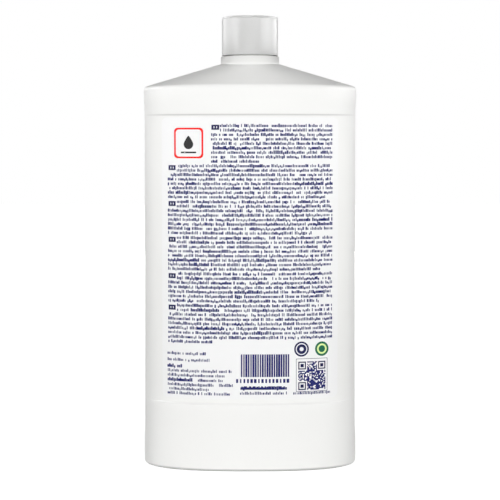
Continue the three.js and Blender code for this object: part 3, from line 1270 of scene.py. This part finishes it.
TEXT_BLOCKS = (
    TextBlock(
        182.18, 2.322, 9, 4.6, 4.3,
        ((0, 0.55, 0.6), (1, 0.33, 0.43), (5, 0.0, 0.28), (5, 0.8, 0.9), (6, 0.51, 0.62)),
        left=-20.0, right=43.9,
    ),
    TextBlock(
        161.23, 2.325, 8, 5.1, 39.9,
        ((0, 0.5, 0.57), (1, 0.25, 0.32), (4, 0.77, 1.0), (5, 0.39, 0.45), (6, 0.0, 0.125)),
    ),
    TextBlock(
        142.45, 2.345, 8, 5.1, 32.3,
        ((0, 0.485, 0.53), (1, 0.19, 0.265), (4, 0.795, 1.0), (5, 0.32, 0.4), (5, 0.88, 1.0)),
    ),
    TextBlock(
        123.53, 2.349, 8, 5.1, 37.0,
        ((0, 0.41, 0.49), (1, 0.145, 0.22), (5, 0.0, 0.2), (5, 0.54, 0.61), (6, 0.135, 0.27)),
    ),
    TextBlock(
        104.59, 2.377, 7, 5.1, 36.4,
        ((0, 0.45, 0.49), (1, 0.14, 0.19), (4, 0.37, 0.565), (4, 0.88, 0.95), (5, 0.37, 0.5)),
    ),
    TextBlock(
        87.83, 2.394, 9, 5.1, -20.3,
        ((0, 0.38, 0.44), (1, 0.135, 0.32), (5, 0.18, 0.38), (5, 0.745, 0.79), (6, 0.515, 0.6)),
    ),
)

# Short lines at the bottom: left end, right end and height in millimetres
SMALL_ROWS: tuple[Row, ...] = (
    (-44.4, -23.7, 62.3),
    (-44.4, -21.6, 58.9),
    (-44.4, -10.0, 53.1),
    (-44.4, -13.7, 50.7),
    (-29.0, -14.7, 48.2),
    (-44.4, -8.4, 45.7),
    (-44.4, -22.1, 43.4),
    (-44.4, -11.0, 41.1),
    (-5.0, 19.2, 41.6),
    (23.2, 43.2, 41.5),
)
SMALL_HEAVY_ROWS: tuple[Row, ...] = (
    (-44.4, -36.8, 55.5),
    (-44.4, -31.0, 48.2),
    (-4.7, 19.0, 44.3),
    (-4.2, 18.0, 44.3),
)
BAR_ROWS: tuple[Row, ...] = ((-4.4, 20.3, 56.4),)
BAR_MARK_ROWS: tuple[Row, ...] = ((-6.8, 20.0, 48.3),)

# Middles of the small navy tags before the text blocks, and of the code's corner squares
TAGS = ((-18.1, 181.5), (-41.75, 160.4), (-41.8, 141.5), (-41.85, 122.6), (-41.9, 103.4), (-41.95, 86.7))
CORNER_SQUARES = ((27.63, 45.3), (27.63, 56.2), (38.5, 56.2))


@dataclass(frozen=True)
class MarkStyle:
    """Sizes of the small marks in a run, in metres.

    Attributes:
        pitch: Distance from mark to mark.
        width: Width of a mark.
        height: Height of a mark.
        width_spread: How much widths vary, as a share.
        tall_share: Share of marks that are taller, upwards or downwards.
        gap_share: Share of marks left out, which makes the gaps between words.
        seed: Seed of the random draws.
    """

    pitch: float
    width: float
    height: float
    width_spread: float
    tall_share: float
    gap_share: float
    seed: int


@dataclass
class LabelPrint:
    """The generic print on the label: text-like marks, bars, a code field and plain shapes.

    Attributes:
        label: The label that carries it.
        plain: Marks of plain text.
        heavy: Marks of bold text.
        small: Marks of the short lines at the bottom.
        bars: The upright bars.
        bar_marks: The widely spaced marks under the bars.
        code: The squares of the code field.
        code_corner: Left and lower edge of the code field, in millimetres.
        code_size: Its size, in millimetres.
        code_cells: Squares along each side of it.
        code_clear: Squares along each side of a corner that are left out.
        rising: Share of the taller marks that grow upwards; the others grow downwards.
        rise: How much taller a rising mark is, as a share.
        hang: How much further down a hanging mark reaches, as a share.
    """

    label: BackLabel
    plain: MarkStyle = MarkStyle(0.84 * MM, 0.62 * MM, 1.14 * MM, 0.35, 0.4, 0.11, 11)
    heavy: MarkStyle = MarkStyle(0.88 * MM, 0.80 * MM, 1.3 * MM, 0.15, 0.4, 0.06, 23)
    small: MarkStyle = MarkStyle(0.84 * MM, 0.56 * MM, 1.1 * MM, 0.35, 0.4, 0.11, 37)
    bars: MarkStyle = MarkStyle(1.2 * MM, 0.92 * MM, 12.0 * MM, 0.28, 0.0, 0.0, 41)
    bar_marks: MarkStyle = MarkStyle(1.9 * MM, 1.05 * MM, 2.1 * MM, 0.35, 0.0, 0.0, 53)
    code: MarkStyle = MarkStyle(0.6 * MM, 0.62 * MM, 0.62 * MM, 0.0, 0.0, 0.28, 67)
    code_corner: Pair = (25.53, 43.2)
    code_size: float = 15.1
    code_cells: int = 25
    code_clear: int = 8
    rising: float = 0.7
    rise: float = 0.42
    hang: float = 0.3

    def runs_tree(self) -> Tree:
        """Builds the tree that sets marks along rows and bends them onto the panel.

        Returns:
            The tree.
        """
        kinds = dict.fromkeys((item.name for item in fields(MarkStyle)), "NodeSocketFloat")
        kinds.update(seed="NodeSocketInt", finish="NodeSocketMaterial")
        tree, take = new_tree("printed_runs", kinds)
        calc = partial(maths, tree)

        def draw(offset: int) -> Socket:
            """Adds a random share from 0 to 1 for each mark."""
            inputs = {2: 0.0, 3: 1.0, "Seed": calc("ADD", take["seed"], float(offset))}
            return add_node(tree, "FunctionNodeRandomValue", inputs, data_type="FLOAT").outputs[1]

        def shape(kind: str, inputs: dict[str | int, Any], **settings: Any) -> Socket:
            """Adds a geometry or vector node and returns its first output."""
            return add_node(tree, kind, inputs, **settings).outputs[0]

        rows = shape("GeometryNodeMeshToCurve", {"Mesh": take["Geometry"]})
        spaced = shape("GeometryNodeResampleCurve", {"Curve": rows, "Length": take["pitch"]}, mode="LENGTH")
        cube = shape("GeometryNodeMeshCube", {"Size": (1.0, Plates.back + Plates.thin, 1.0)})
        mark = shape("GeometryNodeTransform", {"Geometry": cube, "Translation": (0.0, 0.0, 0.5)})
        choice, tall = draw(1), take["tall_share"]
        rises = calc("LESS_THAN", choice, calc("MULTIPLY", tall, self.rising))
        hangs = calc("GREATER_THAN", choice, calc("MULTIPLY_ADD", tall, self.rising - 1, 1.0))
        growth = calc("MULTIPLY_ADD", hangs, self.hang, calc("MULTIPLY_ADD", rises, self.rise, 1.0))
        spread = calc("MULTIPLY", calc("MULTIPLY_ADD", draw(2), 2.0, -1.0), take["width_spread"])
        size = {
            "X": calc("MULTIPLY", calc("ADD", spread, 1.0), take["width"]),
            "Y": 1.0,
            "Z": calc("MULTIPLY", growth, take["height"]),
        }
        chances = {0: draw(3), 1: take["gap_share"]}
        kept = shape("FunctionNodeCompare", chances, data_type="FLOAT", operation="GREATER_THAN")
        scale = shape("ShaderNodeCombineXYZ", size)
        instances = {"Points": spaced, "Selection": kept, "Instance": mark, "Scale": scale}
        marks = shape("GeometryNodeInstanceOnPoints", instances)
        foot = calc("MULTIPLY_ADD", hangs, -self.hang, -0.5)
        middle = -self.label.face - (Plates.thin - Plates.back) / 2
        shift = shape("ShaderNodeCombineXYZ", {"Y": middle, "Z": calc("MULTIPLY", foot, take["height"])})
        moved = {"Instances": marks, "Translation": shift, "Local Space": False}
        placed = shape("GeometryNodeTranslateInstances", moved)
        real = shape("GeometryNodeRealizeInstances", {"Geometry": placed})
        end_tree(tree, self.label.panel.wrap(tree, real), take["finish"])
        return tree

    def run(self, name: str, rows: Sequence[Row], style: MarkStyle, finish: Material, tree: Tree) -> Object:
        """Prints rows of marks as one object.

        Args:
            name: Name of the object.
            rows: Left end, right end and height of each row, in millimetres.
            style: Sizes of the marks.
            finish: The ink's material.
            tree: The tree from runs_tree.

        Returns:
            The object.
        """
        points = [(x * MM, 0, z * MM) for left, right, z in rows for x in (left, right)]
        edges = [(k, k + 1) for k in range(0, len(points), 2)]
        mesh = bpy.data.meshes.new(name)
        mesh.from_pydata(points, edges, [])
        return with_tree(linked(name, mesh), tree, {**asdict(style), "finish": finish})

    def code_rows(self) -> list[Row]:
        """Sets the rows of the code field's squares, clear of its three corner squares.

        Returns:
            Left end, right end and height of each row, in millimetres.
        """
        left, low = self.code_corner
        cell = self.code_size / self.code_cells
        clear = self.code_clear * cell
        rows = []
        for k in range(self.code_cells):
            upper = k >= self.code_cells - self.code_clear
            start = left + cell / 2 + (clear if upper or k < self.code_clear else 0.0)
            end = left + self.code_size - cell / 2 - (clear if upper else 0.0)
            rows.append((start, end, low + cell * (k + 0.5)))
        return rows

    def shapes(self) -> list[tuple[str, Plates, PrintingInk]]:
        """Lays out the plates.

        Returns:
            Name of the object, plates and ink of each piece.
        """
        navy, green, red, black = (Plates(self.label.face, Plates.thin) for _ in range(4))
        white, pale = (Plates(self.label.face, Plates.over) for _ in range(2))
        for x, z in TAGS:
            navy.add(rounded_box((x, z), 4.1, 2.6, 0.15), layers=2)
            for offset in (-0.7, 0.7):
                white.add(rounded_box((x + offset, z), 0.45, 1.0, 0.1))
        for square in CORNER_SQUARES:
            outer = rounded_box(square, 4.2, 4.2, 0.05)
            navy.add(outer, scaled(outer, share=0.7))
            navy.add(rounded_box(square, 1.8, 1.8, 0.05))
        outer = rounded_box((33.05, 51.1), 17.4, 17.6, 0.3)
        navy.add(outer, scaled(outer, share=0.974))
        navy_spot, green_spot, frame_middle = (27.3, 64.95), (38.55, 64.8), (-32.5, 173.3)
        navy.add(flat_disc(navy_spot, 4.0), layers=3)
        green.add(flat_disc(green_spot, 3.85), layers=3)
        for plates, spot, radius, share in ((white, navy_spot, 3.1, 0.84), (pale, green_spot, 2.75, 0.66)):
            plates.add(flat_disc(spot, radius), flat_disc(spot, radius * share))
        white.add(flat_disc(navy_spot, 1.1))
        frame_size, line_width = 16.0, 0.95
        outer = rounded_box(frame_middle, frame_size, frame_size, 2.0)
        red.add(outer, scaled(outer, 1 - 2 * line_width / frame_size))
        black.add(drop(frame_middle, 2.6), layers=2)
        black.add(rounded_box((frame_middle[0], frame_middle[1] - 4.9), 8.4, 0.8, 0.3))
        return [
            ("print_navy_shapes", navy, NAVY_INK),
            ("print_white_marks", white, WHITE_INK),
            ("print_green_disc", green, GREEN_INK),
            ("print_pale_ring", pale, PALE_INK),
            ("print_red_frame", red, RED_INK),
            ("print_drop", black, BLACK_INK),
        ]

    def build(self) -> list[Object]:
        """Prints everything.

        Returns:
            The printed objects.
        """
        plain: list[Row] = []
        heavy: list[Row] = []
        for block in TEXT_BLOCKS:
            block_plain, block_heavy = block.rows()
            plain += block_plain
            heavy += block_heavy
        runs = (
            ("print_text", plain, self.plain),
            ("print_bold_text", [*heavy, *SMALL_HEAVY_ROWS], self.heavy),
            ("print_small_text", SMALL_ROWS, self.small),
            ("print_bars", BAR_ROWS, self.bars),
            ("print_bar_marks", BAR_MARK_ROWS, self.bar_marks),
            ("print_code_field", self.code_rows(), self.code),
        )
        fine_navy, tree = FINE_NAVY_INK.make(), self.runs_tree()
        wrapping = self.label.wrapping()
        objects = [self.run(name, rows, style, fine_navy, tree) for name, rows, style in runs]
        objects += [plates.build(name, ink.make(), wrapping) for name, plates, ink in self.shapes()]
        for printed in objects:
            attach(printed, "bottle")
        return objects


@dataclass
class Studio:
    """Camera, floor, lamps and background.

    Attributes:
        distance: Distance from the camera to the bottle's axis.
        eye_height: Height of the camera.
        pitch: How far it looks down, in degrees.
        lens: Focal length on a 36 mm sensor, in millimetres.
        shift: Vertical shift of the frame.
        horizon: Strength of the background's light on the object, from level with it.
        zenith: Strength of that light from straight above.
        floor_glow: Share of the white near the object that doesn't come from the lamps.
        glow_reach: Distances between which that share rises to one.
        floor_reach: Distance from the object to each edge of the floor.
        floor_colour: Colour of the floor as hex.
        aim: Point that the lamps face.
    """

    distance: float = 0.76
    eye_height: float = 0.17519
    pitch: float = 3.3
    lens: float = 101.09
    shift: float = -0.0593
    horizon: float = 0.35
    zenith: float = 0.1
    floor_glow: float = 0.8
    glow_reach: Pair = (0.12, 0.5)
    floor_reach: float = 3.0
    floor_colour: str = "#DADADA"
    aim: Place = (0, 0, 0.13)

    def camera(self) -> None:
        """Makes the camera at the photograph's viewing angle."""
        data = bpy.data.cameras.new("camera")
        data.lens = self.lens
        data.sensor_width = 36
        data.shift_y = self.shift
        data.clip_start = 0.01
        data.dof.use_dof = False
        made = linked("camera", data)
        made.location = (0, -self.distance, self.eye_height)
        made.rotation_euler = (math.radians(90 - self.pitch), 0, 0)
        bpy.context.scene.camera = made

    def seen_directly(self, tree: Tree) -> Socket:
        """Adds the nodes that tell camera, glossy and transmission rays from the rest.

        Args:
            tree: The floor's or the background's node tree.

        Returns:
            Output with one for those rays and zero for the rest.
        """
        path = add_node(tree, "ShaderNodeLightPath").outputs
        either = maths(tree, "MAXIMUM", path["Is Camera Ray"], path["Is Glossy Ray"])
        return maths(tree, "MAXIMUM", either, path["Is Transmission Ray"])

    def floor(self) -> None:
        """Makes the pale floor, which keeps the object's shadow and turns white further away."""
        material, tree, place = new_material("pale_floor")
        matt = add_node(tree, "ShaderNodeBsdfDiffuse", {"Color": linear(self.floor_colour)}).outputs[0]
        away = add_node(tree, "ShaderNodeVectorMath", {0: place}, operation="LENGTH").outputs["Value"]
        strength = mapped(tree, away, self.glow_reach, (self.floor_glow, 1.0))
        glow = add_node(tree, "ShaderNodeEmission", {"Color": linear(WHITE), "Strength": strength})
        lit = add_node(tree, "ShaderNodeAddShader", {0: matt, 1: glow.outputs[0]}).outputs[0]
        shown = add_node(tree, "ShaderNodeMixShader", {0: self.seen_directly(tree), 1: matt, 2: lit})
        add_node(tree, "ShaderNodeOutputMaterial", {"Surface": shown.outputs[0]})
        corners = ((-1, -1, 0), (1, -1, 0), (1, 1, 0), (-1, 1, 0))
        made = solid("floor", np.array(corners) * self.floor_reach, [(0, 1, 2, 3)], material, crease=40)

    def world(self) -> None:
        """Makes the background white to the eye, and grey to the object, darker overhead."""
        world = bpy.data.worlds.new("studio")
        bpy.context.scene.world = world
        world.use_nodes = True
        tree = world.node_tree
        tree.nodes.clear()
        direction = add_node(tree, "ShaderNodeTexCoord").outputs["Generated"]
        upwards = add_node(tree, "ShaderNodeSeparateXYZ", {0: direction}).outputs["Z"]
        grey = mapped(tree, upwards, result=(self.horizon, self.zenith))
        seen = {0: self.seen_directly(tree), 2: grey, 3: 1.0}
        strength = add_node(tree, "ShaderNodeMix", seen).outputs[0]
        glow = add_node(tree, "ShaderNodeBackground", {"Color": linear(WHITE), "Strength": strength})
        add_node(tree, "ShaderNodeOutputWorld", {"Surface": glow.outputs[0]})

    def lamp(self, name: str, place: Place, size: Pair, power: float) -> Object:
        """Makes a soft rectangular lamp that faces the middle of the bottle.

        Args:
            name: Its name.
            place: Where it hangs.
            size: Its width and height.
            power: Its power in watts.

        Returns:
            The lamp.
        """
        data = bpy.data.lights.new(name, "AREA")
        data.shape = "RECTANGLE"
        data.size, data.size_y = size
        data.energy = power
        made = linked(name, data)
        made.location = place
        x, y, z = (a - b for a, b in zip(self.aim, place))
        made.rotation_euler = (math.atan2(math.hypot(x, y), -z), 0, math.atan2(y, x) - math.pi / 2)
        return made

    def build(self) -> None:
        """Builds everything round the object."""
        self.camera()
        self.floor()
        self.world()
        self.lamp("front_lamp", (0, -1.4, 0.1), (1.6, 0.5), 15.2)
        self.lamp("left_front_lamp", (-1.25, -1.25, 0.2), (0.8, 1.2), 9.2)
        self.lamp("right_front_lamp", (1.25, -1.25, 0.2), (0.8, 1.2), 9.2)
        self.lamp("rear_lamp", (0, 1.4, 0.3), (0.7, 0.6), 8).visible_glossy = False
        # These light only what is glossy, above all the cap
        glints = (
            ("left_strip", (-1.2, 0.1, 0.56), (2.4, 0.7), 28),
            ("right_strip", (1.2, 0.1, 0.56), (2.4, 0.7), 33),
            ("left_card", (-1.12, -0.4, 0.6), (0.7, 0.6), 5),
            ("right_card", (1.12, -0.4, 0.6), (0.7, 0.6), 6.5),
            ("top_glint", (0, -0.45, 1.2), (0.4, 0.4), 10),
        )
        for name, place, size, power in glints:
            self.lamp(name, place, size, power).visible_diffuse = False


def main() -> None:
    """Builds the bottle, its cap and label, and the studio round them."""
    logging.basicConfig(level=logging.INFO, format="%(message)s")
    for old in list(bpy.data.objects):
        bpy.data.objects.remove(old)
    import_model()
    Studio().build()
    cap = ScrewCap()
    label = BackLabel()
    builders = (
        (Bottle().build, BLOWN_POLYETHYLENE),
        (cap.build_cap, MOULDED_POLYPROPYLENE),
        (cap.build_liner, EXPANDED_POLYETHYLENE),
        (label.sheet, LABEL_FILM),
    )
    pieces = [build(finish.make()) for build, finish in builders]
    for piece in [*pieces, *LabelPrint(label).build()]:
        triangles = sum(len(face.vertices) - 2 for face in piece.data.polygons)
        log.info("%s: %d triangles", piece.name, triangles)
    bpy.context.scene.view_settings.view_transform = "Standard"


if __name__ == "__main__":
    main()
